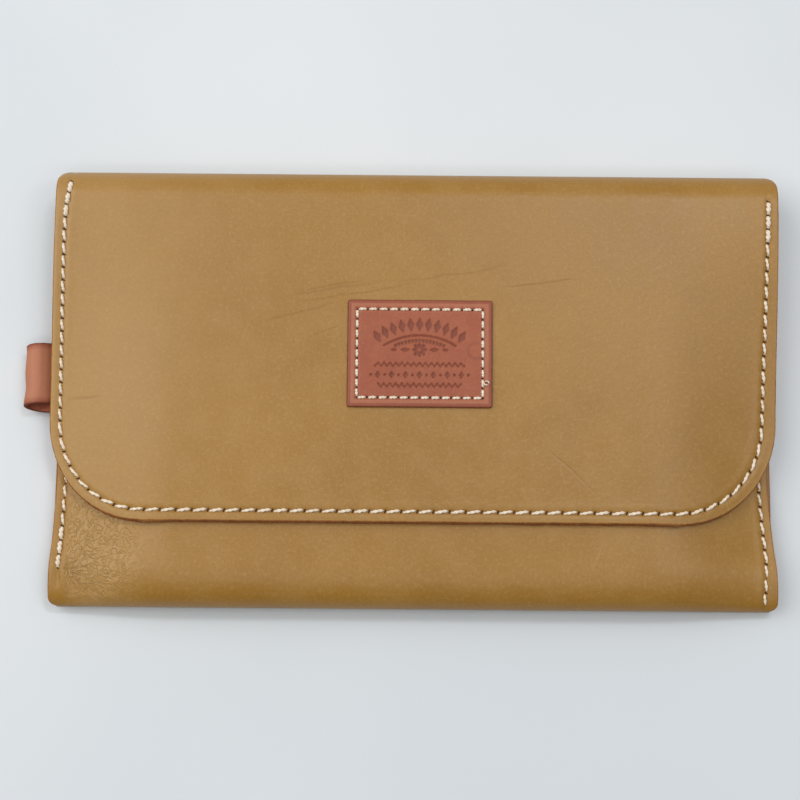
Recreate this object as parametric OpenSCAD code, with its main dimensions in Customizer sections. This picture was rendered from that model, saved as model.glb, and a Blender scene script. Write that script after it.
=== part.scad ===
// Long flap wallet lying on its back: +X to the right, +Y towards the top fold, +Z up through the flap.
// The origin is the centre of the back panel's outer face. Lengths are in millimetres.

/* [Size] */
// Width across the side seams
body_w = 210; // [205:1:216]
// Height from the bottom fold to the top fold
body_h = 128; // [122:1:132]
// Thickness of the body at its middle, without the flap
body_t = 15; // [14.5:0.1:17]
// Thickness of the body along its stitched side edges
edge_t = 6.3; // [6.2:0.1:6.8]

/* [Leather] */
// Thickness of the outer leather
leather_t = 1.8; // [1.6:0.1:2]
// Thickness of the thin lining leather
lining_t = 0.8; // [0.6:0.1:0.8]
// Distance from the middle to where the front panel starts to curve down to the side seams
front_flat = 76; // [74:1:78]

/* [Flap] */
// Outer radius of the top fold, half the closed wallet's thickness
fold_r = 9; // [8.8:0.1:10]
// Distance of the flap's free edge below the middle of the wallet
flap_reach = 39.5; // [34:0.5:44]
// Radius of the flap's two lower corners
flap_corner_r = 29; // [12:0.5:32]
// How far the flap's side edges hang below its middle
flap_droop = 1.6; // [0:0.1:1.7]

/* [Inside] */
// Height of the front panel's mouth above the middle of the wallet
mouth_y = 22; // [16:1:26]
// Thickness of the coin pocket's two panels
pocket_t = 0.8; // [0.6:0.1:0.9]
// Thickness of each row of card pockets
card_t = 0.6; // [0.4:0.1:0.6]
// Height of the top row of card pockets above the middle of the wallet
card_top = 38; // [34:1:39]
// Step from one row of card pockets down to the next
card_step = 9; // [6:0.5:10]
// Diameter of the two magnets that hold the flap shut
magnet_d = 12; // [8:0.5:14]

/* [Zip] */
// Height of the zip's centre line above the middle of the wallet
zip_y = 47; // [46:0.5:48]
// Distance from one tooth to the next along a row
tooth_pitch = 2.2; // [1.8:0.1:3]
// How far the slider runs from shut to open
zip_travel = 150; // [100:1:150]
// Length of the pull tab from its pin
pull_l = 12.5; // [9:0.5:13]

/* [Strap loop and label] */
// Width of the strap that forms the loop
loop_w = 18; // [12:1:24]
// Radius of the round eye inside the loop
eye_r = 2.2; // [1.5:0.1:2.4]
// Width of the sewn label patch
label_w = 42; // [30:1:60]
// Height of the sewn label patch
label_h = 31.5; // [20:0.5:45]

/* [Stitching] */
// Pitch of the outer leather's stitches
stitch_pitch = 4.2; // [3:0.1:6]
// Distance of the stitch lines from the leather's edges
stitch_inset = 3; // [2.5:0.1:4]

/* [Hidden] */

$fn = 96;
half_w = body_w / 2;
play = 0.05;                         // gap left between sheets that lie on each other
bottom_r = body_t / 2;               // outer radius of the bottom fold
bottom_y = -body_h / 2 + bottom_r;   // where the bottom fold ends and the flat panels start
fold_y = body_h / 2 - fold_r;        // where the flat panels end and the top fold starts
flap_top = 2 * fold_r;               // height of the shut flap's outer face
hinge_a = 45;                        // the fold's first hinge, in degrees round from the back panel
hinge_b = 135;                       // the fold's second hinge
lining_in = fold_r - leather_t - lining_t;
inside_flat = 90;                    // the inner sheets stay flat out to here
lining_top = leather_t + lining_t;

// heights of the inner sheets' undersides, first at the middle and then at the side seams
rear_z = [lining_top + 0.15, lining_top + play];
front_z = [5.6, rear_z[1] + pocket_t + play];
cards_z = front_z + [pocket_t + 0.03, pocket_t + 0.03];
cards_half_w = 91;

// the zip: a flat tape on each side, teeth gripping both tapes' inner edges
tape_t = 0.5;
tape_z = front_z[0] - play - tape_t;
tape_in = 1;                         // from the centre line to the tape's inner edge
tape_out = 5.5;
tooth_t = 1.5;
chain_z = tape_z + tape_t / 2;
window_h = 7;
window_w = 176;
slider_x = 75;
slider_l = 9;
slider_w = 6.6;
plate_t = 0.55;
channel_h = tooth_t + 0.3;
pin_z = chain_z + channel_h / 2 + plate_t + 0.6;
pin_r = 0.5;

magnet_y = -24;
magnet_t = 1;
cover_d = magnet_d + 8;
thread_w = 0.7;
thread_l = 3;
thread_proud = 0.25;                 // how far a stitch stands above the leather
label_t = 1;
label_at = [1.6, 8.9];
loop_y = 3.5;
loop_band = 1.5;
loop_tail = 8;                       // how far the strap's tails reach in from the side edge
loop_gap = 2.4;                      // how far the eye's wall stands off the side edge
loop_x = -(half_w + eye_r + loop_band + play + loop_gap);
loop_z = 4.4;
tail_z = rear_z[1];

function smooth(u) = let (v = min(max(u, 0), 1)) v * v * (3 - 2 * v);
function fall(x, flat) = smooth((abs(x) - flat) / (half_w - flat));
function front_top(x) = body_t - (body_t - edge_t) * fall(x, front_flat);
function flap_z(x) = flap_top - flap_droop * fall(x, front_flat);
function inner_z(x, z) = z[0] + (z[1] - z[0]) * fall(x, inside_flat);
// stations across the width: close together where the sheets curve, none where they are flat
function side(half, flat) = [for (i = [0 : 12]) flat + (half - flat) * i / 12];
function across(half, flat) = half <= flat ? [-half, half]
    : [each [for (i = [12 : -1 : 0]) -side(half, flat)[i]], each side(half, flat)];

// a YZ outline drawn as XY, pulled along X
module along_x(length) {
    rotate([90, 0, 90]) linear_extrude(height = length, center = true) children();
}
// an XZ outline drawn as XY, pulled along Y
module along_y(y_low, y_high) {
    translate([0, y_high, 0]) rotate([90, 0, 0]) linear_extrude(height = y_high - y_low) children();
}
// a stretch of a ring round the top fold's centre, from one angle to another, 0 being straight down
module fold_arc(r_in, r_out, from, to, length) {
    reach = 2 * r_out;
    middle = (from + to) / 2;
    along_x(length) translate([fold_y, fold_r]) intersection() {
        difference() {
            circle(r = r_out);
            circle(r = r_in);
        }
        polygon([[0, 0], reach * [sin(from), -cos(from)], reach * [sin(middle), -cos(middle)],
                 reach * [sin(to), -cos(to)]]);
    }
}
// a thin sheet that lies flat across the middle and comes down to the side seams
module inner_sheet(half, z, t, y_low, y_high) {
    xs = across(half, inside_flat);
    n = len(xs) - 1;
    along_y(y_low, y_high) polygon([for (x = xs) [x, inner_z(x, z)],
                                    for (i = [n : -1 : 0]) [xs[i], inner_z(xs[i], z) + t]]);
}
// the space under the front panel's outer face, lowered by depth
module under_front(depth, y_low, y_high, over) {
    xs = across(half_w, front_flat);
    along_y(y_low, y_high) polygon([[-half_w - over, -over], [half_w + over, -over],
        [half_w + over, edge_t - depth],
        for (i = [len(xs) - 1 : -1 : 0]) [xs[i], front_top(xs[i]) - depth],
        [-half_w - over, edge_t - depth]]);
}
// a closed outline of the body seen from the side: flat panels and a round bottom fold
module side_outline(inset, y_high) {
    translate([bottom_y, bottom_r]) circle(r = bottom_r - inset);
    translate([bottom_y, inset]) square([y_high - bottom_y, body_t - 2 * inset]);
}
// one stitch: a bar through the layers, its length along the seam
module stitch(x, y, z_low, z_high, turn = 0, length = thread_l) {
    translate([x, y, (z_low + z_high) / 2]) rotate([0, 0, turn])
        cube([length, thread_w, z_high - z_low], center = true);
}

module outer_cover() {
    color("#b28c55") {
        difference() {
            intersection() {
                along_x(body_w) side_outline(0, mouth_y);
                under_front(0, -body_h, mouth_y + 1, 1);
            }
            intersection() {
                along_x(body_w + 2) side_outline(leather_t, mouth_y + 1);
                under_front(leather_t, -body_h, mouth_y + 2, 2);
            }
            translate([0, magnet_y, body_t - leather_t - 1])
                cylinder(d = magnet_d + 0.1, h = magnet_t + 1.1);
        }
        translate([-half_w, mouth_y, 0]) cube([body_w, fold_y - mouth_y, leather_t]);
        fold_arc(fold_r - leather_t, fold_r, 0, hinge_a - 0.3, body_w);
    }
}

module back_lining() {
    color("#a98558") {
        translate([-half_w + 1, bottom_y + 2, leather_t])
            cube([body_w - 2, fold_y - bottom_y - 2, lining_t - play]);
        fold_arc(lining_in, fold_r - leather_t - play, 0, hinge_a - 0.3, body_w - 2);
    }
}

module coin_pocket_rear() {
    color("#9c7a50") difference() {
        inner_sheet(half_w - 0.5, rear_z, pocket_t, bottom_y + 3, fold_y - 0.5);
        loop_notch();
    }
}

module coin_pocket_front() {
    color("#a4814f") difference() {
        inner_sheet(half_w - 0.5, front_z, pocket_t, bottom_y + 3, fold_y - 0.5);
        translate([0, zip_y, 0]) cube([window_w, window_h, 40], center = true);
        loop_notch();
    }
}

// room for the strap loop's tails between the pocket panels' left edges
module loop_notch() {
    translate([-half_w, loop_y - loop_w / 2 - 0.3, 0]) cube([loop_tail + 0.3, loop_w + 0.6, 20]);
}

module card_pocket(row, depth) {
    lift = row * (card_t + 0.03);
    top = card_top - row * card_step;
    color("#ac8650") inner_sheet(cards_half_w, cards_z + [lift, lift], card_t, top - depth, top);
}
module card_pocket_top() {
    card_pocket(0, 48);
}
module card_pocket_middle() {
    card_pocket(1, 48);
}
module card_pocket_bottom() {
    card_pocket(2, 68);
}

module card_divider_stitching() {
    low = card_top - 2 * card_step - 60;
    color("#e8dcc4") for (y = [low : stitch_pitch : card_top - 2]) {
        row = y > card_top - card_step ? 0 : y > card_top - 2 * card_step ? 1 : 2;
        top = cards_z[0] + row * (card_t + 0.03) + card_t;
        stitch(0, y, front_z[0] + 0.1, top + 0.05, 90);
    }
}

module coin_pocket_stitching() {
    y = bottom_y + 3 + stitch_inset;
    color("#e8dcc4") for (i = [-20 : 20])
        stitch(i * stitch_pitch, y, rear_z[0] + 0.1, front_z[0] + pocket_t, 0);
}

module zipper_tape(side) {
    low = side > 0 ? tape_in : -tape_out;
    color("#5b4126") translate([-88.5, zip_y + low, tape_z]) cube([177, tape_out - tape_in, tape_t]);
}
module zipper_tape_upper() {
    zipper_tape(1);
}
module zipper_tape_lower() {
    zipper_tape(-1);
}

// one row of teeth, each a block that grips the tape and a narrower head that reaches past the centre
module zipper_teeth(side) {
    first = -79.5 + (side > 0 ? 0 : tooth_pitch / 2);
    color("#c9a250") for (x = [first : tooth_pitch : slider_x + 1.6])
        translate([x, zip_y, chain_z]) {
            translate([0, side * 1.45, 0]) cube([0.9, 1.7, tooth_t], center = true);
            translate([0, side * 0.1, 0]) cube([0.9, 1.2, tooth_t * 0.8], center = true);
        }
}
module zipper_teeth_upper() {
    zipper_teeth(1);
}
module zipper_teeth_lower() {
    zipper_teeth(-1);
}

module zipper_end_stops() {
    color("#c9a250") {
        translate([slider_x - zip_travel - slider_l / 2 - 2.1, zip_y, chain_z])
            cube([3, 4.6, tooth_t], center = true);
        for (side = [-1, 1]) translate([slider_x + slider_l / 2 + 1.3, zip_y + side * 1.7, chain_z])
            cube([1.6, 1.8, tooth_t], center = true);
    }
}

module zipper_stitching() {
    color("#e8dcc4") for (side = [-1, 1], x = [-84 : stitch_pitch : 84])
        stitch(x, zip_y + side * 4.4, tape_z + 0.05, front_z[0] + pocket_t + 0.15);
}

// a side seam's stitches, down from the top fold to the end of the seam
module seam_stitching(side, y_end) {
    x = half_w - stitch_inset;
    color("#f0e4cf") for (y = [y_end : stitch_pitch : fold_y - 3]) {
        top = y < mouth_y - 2 ? front_top(x) + thread_proud
            : inner_z(x, front_z) + pocket_t + thread_proud;
        stitch(side * x, y, 0.05, top, 90);
    }
}
module left_seam_stitching() {
    seam_stitching(-1, bottom_y + 5.5);
}
module right_seam_stitching() {
    seam_stitching(1, bottom_y + 1);
}

// a strap turned round an eye, its two tails pressed into one tab between the pocket panels' edges
module strap_loop() {
    color("#b87c5f") translate([0, loop_y + loop_w / 2, 0]) rotate([90, 0, 0])
        linear_extrude(height = loop_w) difference() {
            union() {
                translate([loop_x, loop_z]) circle(r = eye_r + loop_band);
                translate([loop_x, tail_z]) square([-half_w + loop_tail - loop_x, 2 * pocket_t]);
            }
            translate([loop_x, loop_z]) circle(r = eye_r);
        }
}

module front_magnet() {
    color("#9a9ca0") translate([0, magnet_y, body_t - leather_t])
        cylinder(d = magnet_d, h = magnet_t);
}

module front_magnet_cover() {
    color("#a98558") translate([0, magnet_y, body_t - leather_t - 0.5]) cylinder(d = cover_d, h = 0.5 - play);
}

module fold_leather() {
    color("#b28c55") fold_arc(fold_r - leather_t, fold_r, hinge_a + 0.3, hinge_b - 0.3, body_w);
}

module fold_lining() {
    color("#a98558")
        fold_arc(lining_in, fold_r - leather_t - play, hinge_a + 0.3, hinge_b - 0.3, body_w - 2);
}

// the flap's outline, with its two lower corners rounded
module flap_outline(inset) {
    r = flap_corner_r - inset;
    half = half_w - inset;
    low = -flap_reach + inset;
    translate([-half, low + r]) square([2 * half, fold_y - low - r]);
    translate([-half + r, low]) square([2 * (half - r), r + 1]);
    for (s = [-1, 1]) translate([s * (half - r), low + r]) circle(r = r);
}
// a sheet that follows the flap's outer face at a depth below it
module flap_sheet(depth, t, inset) {
    xs = across(half_w, front_flat);
    n = len(xs) - 1;
    intersection() {
        along_y(-body_h, fold_y) polygon([for (x = xs) [x, flap_z(x) - depth - t],
                                          for (i = [n : -1 : 0]) [xs[i], flap_z(xs[i]) - depth]]);
        linear_extrude(height = 40) flap_outline(inset);
    }
}

module flap_leather() {
    color("#b28c55") {
        difference() {
            flap_sheet(0, leather_t, 0);
            translate([0, magnet_y, flap_top - leather_t - 1])
                cylinder(d = magnet_d + 0.1, h = magnet_t + 1.1);
        }
        fold_arc(fold_r - leather_t, fold_r, hinge_b + 0.3, 180, body_w);
    }
}

module flap_lining() {
    color("#a98558") {
        flap_sheet(leather_t + play, lining_t - play, 1);
        fold_arc(lining_in, fold_r - leather_t - play, hinge_b + 0.3, 180, body_w - 2);
    }
}

module flap_magnet() {
    color("#9a9ca0") translate([0, magnet_y, flap_top - leather_t]) cylinder(d = magnet_d, h = magnet_t);
}

// the flap's stitch line: down the right side, round the corner and in to the middle of the free edge
stitch_r = flap_corner_r - stitch_inset;
stitch_half = half_w - stitch_inset;
side_run = fold_y - 4 + flap_reach - flap_corner_r;
corner_run = stitch_r * PI / 2;
edge_run = stitch_half - stitch_r;
function flap_stitch_at(s) = s < side_run ? [stitch_half, fold_y - 4 - s, 90]
    : s < side_run + corner_run
    ? let (a = (s - side_run) / stitch_r * 180 / PI)
      [edge_run + stitch_r * cos(a), -flap_reach + flap_corner_r - stitch_r * sin(a), 90 - a]
    : [edge_run - (s - side_run - corner_run), -flap_reach + stitch_inset, 0];

module flap_stitching() {
    count = floor((side_run + corner_run + edge_run) / stitch_pitch);
    color("#f0e4cf") for (side = [-1, 1], i = [0 : count - 1]) {
        at = flap_stitch_at(i * stitch_pitch);
        top = flap_z(at[0]);
        stitch(side * at[0], at[1], top - leather_t - lining_t - 0.1, top + thread_proud, side * -at[2]);
    }
}

module label_patch() {
    r = 1.2;
    color("#b06450") translate([label_at[0], label_at[1], flap_top]) linear_extrude(height = label_t) {
        square([label_w, label_h - 2 * r], center = true);
        square([label_w - 2 * r, label_h], center = true);
        for (sx = [-1, 1], sy = [-1, 1])
            translate([sx * (label_w / 2 - r), sy * (label_h / 2 - r)]) circle(r = r);
    }
}

module label_stitching() {
    inset = 2.6;
    pitch = 3;
    long = label_w / 2 - inset;
    tall = label_h / 2 - inset;
    low = flap_top - leather_t + 0.2;
    high = flap_top + label_t + 0.2;
    color("#f0e4cf") translate([label_at[0], label_at[1], 0]) for (side = [-1, 1]) {
        for (x = [-long + pitch / 2 : pitch : long - 1]) stitch(x, side * tall, low, high, 0, 2.2);
        for (y = [-tall + pitch / 2 : pitch : tall - 1]) stitch(side * long, y, low, high, 90, 2.2);
    }
}

// the slider: two plates joined by a wedge ahead of the teeth, lips that hold the tapes, and a bridge
module zipper_slider() {
    low = chain_z - channel_h / 2;
    high = chain_z + channel_h / 2;
    lip_h = 0.45;
    bridge_w = 1.6;
    color("#c9a250") translate([slider_x, zip_y, 0]) {
        for (z = [low - plate_t, high]) translate([-slider_l / 2, -slider_w / 2, z])
            cube([slider_l, slider_w, plate_t]);
        for (side = [-1, 1], z = [low, high - lip_h])
            translate([-slider_l / 2, side * (slider_w / 2 - 0.3) - 0.3, z]) cube([slider_l, 0.6, lip_h]);
        translate([slider_l / 2 - 1.9, -0.7, low]) cube([1.6, 1.4, channel_h]);
        for (x = [-3.6, 2.8]) translate([x, -bridge_w / 2, high + plate_t]) cube([0.8, bridge_w, 1.3]);
        translate([-3.6, -bridge_w / 2, high + plate_t + 1.3]) cube([7.2, bridge_w, 0.6]);
    }
}

// the pull: a pin under the slider's bridge, two arms and a flat tab with a hole
module zipper_pull() {
    tab_w = 5;
    tab_t = 0.9;
    color("#c9a250") translate([slider_x, zip_y, pin_z]) {
        rotate([90, 0, 0]) cylinder(r = pin_r, h = tab_w, center = true);
        difference() {
            translate([-pull_l + tab_w / 2, -tab_w / 2, -tab_t / 2]) cube([pull_l - tab_w / 2, tab_w, tab_t]);
            translate([-4.7, -1.1, -1]) cube([5.7, 2.2, 2]);
            translate([-8.5, 0, -1]) cylinder(r = 1, h = 2);
        }
        translate([-pull_l + tab_w / 2, 0, 0]) difference() {
            cylinder(r = tab_w / 2, h = tab_t, center = true);
            translate([0, -tab_w, -1]) cube([tab_w, 2 * tab_w, 2]);
        }
    }
}

outer_cover();
back_lining();
coin_pocket_rear();
coin_pocket_front();
card_pocket_top();
card_pocket_middle();
card_pocket_bottom();
card_divider_stitching();
coin_pocket_stitching();
zipper_tape_upper();
zipper_tape_lower();
zipper_teeth_upper();
zipper_teeth_lower();
zipper_end_stops();
zipper_stitching();
left_seam_stitching();
right_seam_stitching();
strap_loop();
front_magnet();
front_magnet_cover();
fold_leather();
fold_lining();
flap_leather();
flap_lining();
flap_stitching();
flap_magnet();
label_patch();
label_stitching();
zipper_slider();
zipper_pull();
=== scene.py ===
"""A long tan leather wallet with a fold-over flap, lying on its back on a pale table.

Shapes are worked out in millimetres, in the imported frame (+X right, +Y towards the top fold, +Z up),
and turned into metres when a mesh is made. The driving sizes come from the CAD nodes' boxes.
"""
import math

import bpy
import numpy as np
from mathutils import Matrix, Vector


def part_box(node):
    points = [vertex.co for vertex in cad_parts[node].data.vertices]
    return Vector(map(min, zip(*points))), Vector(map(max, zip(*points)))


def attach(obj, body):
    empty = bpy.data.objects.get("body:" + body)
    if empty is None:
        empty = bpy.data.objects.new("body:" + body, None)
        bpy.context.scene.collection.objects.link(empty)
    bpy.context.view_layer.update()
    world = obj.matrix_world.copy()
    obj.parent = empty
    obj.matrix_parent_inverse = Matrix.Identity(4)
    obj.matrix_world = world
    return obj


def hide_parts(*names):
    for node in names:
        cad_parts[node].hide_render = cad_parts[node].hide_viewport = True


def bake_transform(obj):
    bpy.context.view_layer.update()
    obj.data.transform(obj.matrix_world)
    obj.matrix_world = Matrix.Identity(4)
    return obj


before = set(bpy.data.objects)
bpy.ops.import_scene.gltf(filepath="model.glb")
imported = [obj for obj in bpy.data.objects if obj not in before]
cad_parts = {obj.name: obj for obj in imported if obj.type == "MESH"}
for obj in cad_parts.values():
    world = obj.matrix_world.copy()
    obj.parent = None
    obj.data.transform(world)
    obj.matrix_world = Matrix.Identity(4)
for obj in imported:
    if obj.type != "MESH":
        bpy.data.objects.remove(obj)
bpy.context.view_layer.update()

MM = 0.001


def box_mm(node):
    """A CAD node's lowest and highest corner, in millimetres."""
    low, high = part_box(node)
    return np.array(low) / MM, np.array(high) / MM


# ---- sizes
COVER_LOW, COVER_HIGH = box_mm("outer_cover")
FLAP_LOW, FLAP_HIGH = box_mm("flap_leather")
FOLD_HIGH = box_mm("fold_leather")[1]
HALF_W = COVER_HIGH[0]
BOTTOM_Y = COVER_LOW[1]
TOP_Y = FOLD_HIGH[1]
BODY_TOP = COVER_HIGH[2]
FLAP_TOP = FLAP_HIGH[2]
FREE_Y = FLAP_LOW[1]
FOLD_R = FLAP_TOP / 2               # outer radius of the top fold
FOLD_Y = TOP_Y - FOLD_R             # the flap and the back leave the fold here
LEATHER = 1.8                       # thickness of the outer leather
LINING = 0.8                        # thickness of the lining
MOUTH_Y = 22.0                      # top edge of the front panel
EDGE_T = 6.3                        # thickness of the body along its stitched sides
FLAP_CORNER = 29.0                  # radius of the flap's lower corners
TOP_CORNER = 4.5                    # radius of the corners at the top fold, seen from above
BOTTOM_CORNER = 2.4                 # radius of the corners at the bottom fold
STITCH_IN = 3.0                     # stitch lines lie this far in from the edges
STITCH_PITCH = 4.2
DOWN_PITCH, ROUND_PITCH, UP_PITCH = 3.7, 4.6, 4.1   # hand sewn, so it changes round the flap
FLAP_LEAN = 0.012                   # how fast the shut flap drifts to -X on its way down
EDGE_ROUND = 0.35                   # radius of a cut edge's upper corner
LAID_ON = 0.25                      # the flap lies on leather that is squashed by this much
LINED_GAP = 0.12                    # between the flap's lining and the body
APEX_SHARE = 0.46                   # the bottom fold is widest at this share of the front's height
TURN_AHEAD = 0.35                   # how far into its turn the front keeps filling out
FRONT_TURN = 12.5                   # the front starts to turn this far above the bottom edge
BACK_TURN = 7.5                     # and the back this far
BODY_WIDER = {-1: 0.3, 1: 0.8}      # the leather stands this far out past HALF_W, left and right
FLAP_WIDER = {-1: 0.0, 1: 1.0}
DRAWN_IN = {-1: 1.3, 1: 2.4}        # the seams draw the body's sides in by this much, at most here:
DRAWN_Y, DRAWN_SPREAD = -24, 22
FILLED_OVER = 36                    # the body fills out over this width beside its seams
HANGS_OVER = 78                     # the shut flap sinks onto the body over this length


# ---- functions of a place
def smooth(t):
    """An even rise from 0 to 1 as t goes from 0 to 1."""
    t = np.clip(t, 0.0, 1.0)
    return t * t * (3 - 2 * t)


def hill(distance, width):
    """1 on a line, falling to 0 over about two widths."""
    return np.exp(-((distance / width) ** 2))


def lattice(ix, iy, seed):
    """A repeatable number from 0 to 1 for each whole-number place."""
    h = (ix * 374761393 + iy * 668265263 + seed * 97463477) & 0xFFFFFFFF
    h = ((h ^ (h >> 13)) * 1274126177) & 0xFFFFFFFF
    return ((h ^ (h >> 16)) & 0xFFFF) / 65535.0


def noise(x, y, size, seed, octaves=1):
    """Smooth noise from -1 to 1, with features about size millimetres across."""
    total, weight, amount = 0.0, 1.0, 0.0
    for octave in range(octaves):
        gx, gy = np.asarray(x) / size, np.asarray(y) / size
        ix, iy = np.floor(gx).astype(np.int64), np.floor(gy).astype(np.int64)
        sx, sy = smooth(gx - ix), smooth(gy - iy)
        s = seed + 17 * octave
        low = lattice(ix, iy, s) * (1 - sx) + lattice(ix + 1, iy, s) * sx
        high = lattice(ix, iy + 1, s) * (1 - sx) + lattice(ix + 1, iy + 1, s) * sx
        total = total + weight * (2 * (low * (1 - sy) + high * sy) - 1)
        amount += weight
        weight *= 0.5
        size *= 0.5
    return total / amount


def distance_to_line(x, y, points):
    """Distance from each place to a line drawn through the points."""
    best = np.full(np.shape(x), np.inf)
    for a, b in zip(points, points[1:]):
        ab = b - a
        t = np.clip(((x - a[0]) * ab[0] + (y - a[1]) * ab[1]) / (ab @ ab), 0, 1)
        best = np.minimum(best, np.hypot(x - a[0] - t * ab[0], y - a[1] - t * ab[1]))
    return best


def distance_to_points(x, y, points):
    best = np.full(np.shape(x), np.inf)
    for px, py in points:
        best = np.minimum(best, np.hypot(x - px, y - py))
    return best


def stitch_dents(x, y, holes, depth=0.28):
    """How far a stitch line pulls the leather down: a groove, a pit at each hole, and a swell beside."""
    line = distance_to_line(x, y, holes)
    swell = hill(line - 1.7, 0.8) * (1 - hill(distance_to_points(x, y, holes), 1.5))
    return depth * hill(line, 0.62) + depth * hill(distance_to_points(x, y, holes), 0.75) - 0.10 * swell


# ---- outlines, seen from above
def corner_cut(t, radius):
    """How far a rounded corner has cut the side in, t being 0 at its start and 1 at its end."""
    t = np.clip(t, 0, 1)
    return radius * (1 - np.sqrt(1 - t * t))


def top_corner_cut(y):
    """The same at the top fold, a little blunter at its very end so that the fold's edge stays smooth."""
    return corner_cut(0.985 * (y - TOP_Y + TOP_CORNER) / TOP_CORNER, TOP_CORNER)


def body_half_width(y, side, inset):
    """Half the body's width on one side: full at the bottom fold, drawn in above it, full at the top."""
    drawn_in = DRAWN_IN[side] * hill(y - DRAWN_Y, DRAWN_SPREAD)
    half = HALF_W + BODY_WIDER[side] - drawn_in - top_corner_cut(y)
    radius = BOTTOM_CORNER - inset
    return half - inset - corner_cut((BOTTOM_Y + inset + radius - y) / radius, radius)


def flap_half_width(y, side, inset):
    radius = FLAP_CORNER - inset
    half = HALF_W + FLAP_WIDER[side] - top_corner_cut(y) - inset
    return half - corner_cut((FREE_Y + inset + radius - y) / radius, radius)


def lean(y):
    """How far the shut flap has drifted aside by here."""
    return -FLAP_LEAN * np.clip(FOLD_Y - y, 0, None)


# ---- stitch lines
def evenly(points, pitch):
    """Points at an even pitch along a line, from its start to its end."""
    points = np.asarray(points, float)
    steps = np.hypot(*np.diff(points, axis=0).T)
    length = np.concatenate([[0], np.cumsum(steps)])
    along = np.linspace(0, length[-1], int(round(length[-1] / pitch)) + 1)
    return np.stack([np.interp(along, length, points[:, k]) for k in (0, 1)], 1)


def flap_stitch_line():
    """The flap's holes, from the top left round the two lower corners to the top right."""
    reach = HALF_W - STITCH_IN
    radius = FLAP_CORNER - STITCH_IN
    centre_x, centre_y = HALF_W - FLAP_CORNER, FREE_Y + FLAP_CORNER
    turn = np.radians(np.linspace(180, 270, 24))
    left = np.stack([-centre_x + radius * np.cos(turn), centre_y + radius * np.sin(turn)], 1)
    right = left[::-1] * [-1, 1]
    down = [[1.3 - reach, TOP_Y - 4.4], [0.3 - reach, TOP_Y - 12], [-reach, TOP_Y - 18], left[0]]
    round_it = np.concatenate([left, right])
    up = [right[-1], [reach + 1.0, TOP_Y - 9.2]]
    lines = ((down, DOWN_PITCH), (round_it, ROUND_PITCH), (up, UP_PITCH))
    runs = [evenly(line, pitch) for line, pitch in lines]
    return np.concatenate([runs[0], runs[1][1:], runs[2][1:]])


def seam_stitch_line(side, start_y, end_y):
    y = np.linspace(start_y, end_y, 60)
    inwards = 1.1 * smooth((BOTTOM_Y + 18 - y) / 14) if side > 0 else 0
    reach = body_half_width(y, side, 0) - STITCH_IN + 0.3 - inwards
    return evenly(np.stack([side * reach, y], 1), STITCH_PITCH)


FLAP_HOLES = flap_stitch_line()
LEFT_SEAM = seam_stitch_line(-1, BOTTOM_Y + 11, MOUTH_Y - 1.5)
RIGHT_SEAM = seam_stitch_line(1, BOTTOM_Y + 1.5, MOUTH_Y - 1.5)
LEFT_BACK_SEAM = seam_stitch_line(-1, BOTTOM_Y + 11, FOLD_Y - 2.5)
RIGHT_BACK_SEAM = seam_stitch_line(1, BOTTOM_Y + 8.5, FOLD_Y - 2.5)


# ---- heights of the leather faces
# The left seam stops here, and the leather gathers round its end.
PINCH = np.array([-101.0, BOTTOM_Y + 10.5])


def gathers(x, y):
    """Creases that run out from the end of the left seam."""
    dx, dy = x - PINCH[0], y - PINCH[1]
    reach = np.hypot(dx, dy)
    angle = np.degrees(np.arctan2(dy, dx)) + 5 * noise(x, y, 6, 71)
    wave = np.zeros(np.shape(x))
    for ray, size in ((-34, 0.9), (-16, 0.8), (-3, 1.0), (12, 0.7), (27, 0.9), (46, 0.6)):
        width = 2.2 + 0.13 * reach
        wave = wave + size * hill((angle - ray) * np.radians(reach), 0.16 * width + 0.25)
    fade = smooth((reach - 0.8) / 2.5) * smooth((22 - reach) / 16)
    return 0.42 * wave * fade


def pillow(x):
    """How full the body is across its width: 0 at the side seams and 1 in the middle."""
    return smooth((HALF_W - np.abs(x) - 1.0) / FILLED_OVER) ** 0.8


def slack(x, y):
    """How the leather waves a little where nothing holds it."""
    return 0.22 * noise(x, y, 34, 3, 2) * pillow(x)


def front_plain(x, y):
    """The front panel's height before stitches dent it: full in the middle, low at the side seams."""
    edge = EDGE_T + 2.4 * smooth((-43 - y) / 12)
    return edge + (BODY_TOP - LAID_ON - edge) * pillow(x) + slack(x, y) - gathers(x, y)


def front_height(x, y):
    """The front panel's height, with the dents of its two seams."""
    return front_plain(x, y) - stitch_dents(x, y, LEFT_SEAM) - stitch_dents(x, y, RIGHT_SEAM)


def front_skin(x, y):
    """The same with the front's turn at the bottom fold, for the stitches that run down over it."""
    turn_y = BOTTOM_Y + FRONT_TURN
    down = np.clip((turn_y - y) / FRONT_TURN, 0, 1)
    apex = APEX_SHARE * front_plain(x, turn_y + 0 * y)
    top = front_plain(x, np.where(down > 0, turn_y - TURN_AHEAD * (turn_y - y), y))
    return np.where(down > 0, apex + (top - apex) * np.sqrt(1 - down**2), top)


def flap_plain(x, y):
    """The shut flap's height: round over the top fold, then down to rest on the pillowed body."""
    over = np.clip(y - FOLD_Y, 0, FOLD_R)
    round_fold = FLAP_TOP - FOLD_R + np.sqrt(FOLD_R**2 - over**2)
    full = pillow(x)
    body = EDGE_T + (BODY_TOP - LAID_ON - EDGE_T) * full + slack(x, y)
    resting = body + LEATHER + LINING + LINED_GAP + 1.3 * (1 - full)
    hang = smooth((FOLD_Y - y) / HANGS_OVER)
    return round_fold + (resting - FLAP_TOP) * hang


def flap_height(x, y):
    return flap_plain(x, y) - stitch_dents(x, y, FLAP_HOLES)


def flap_at(x, y):
    """The flap's height over a true place, its lean taken into account."""
    return flap_plain(x - lean(y), y)


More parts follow.
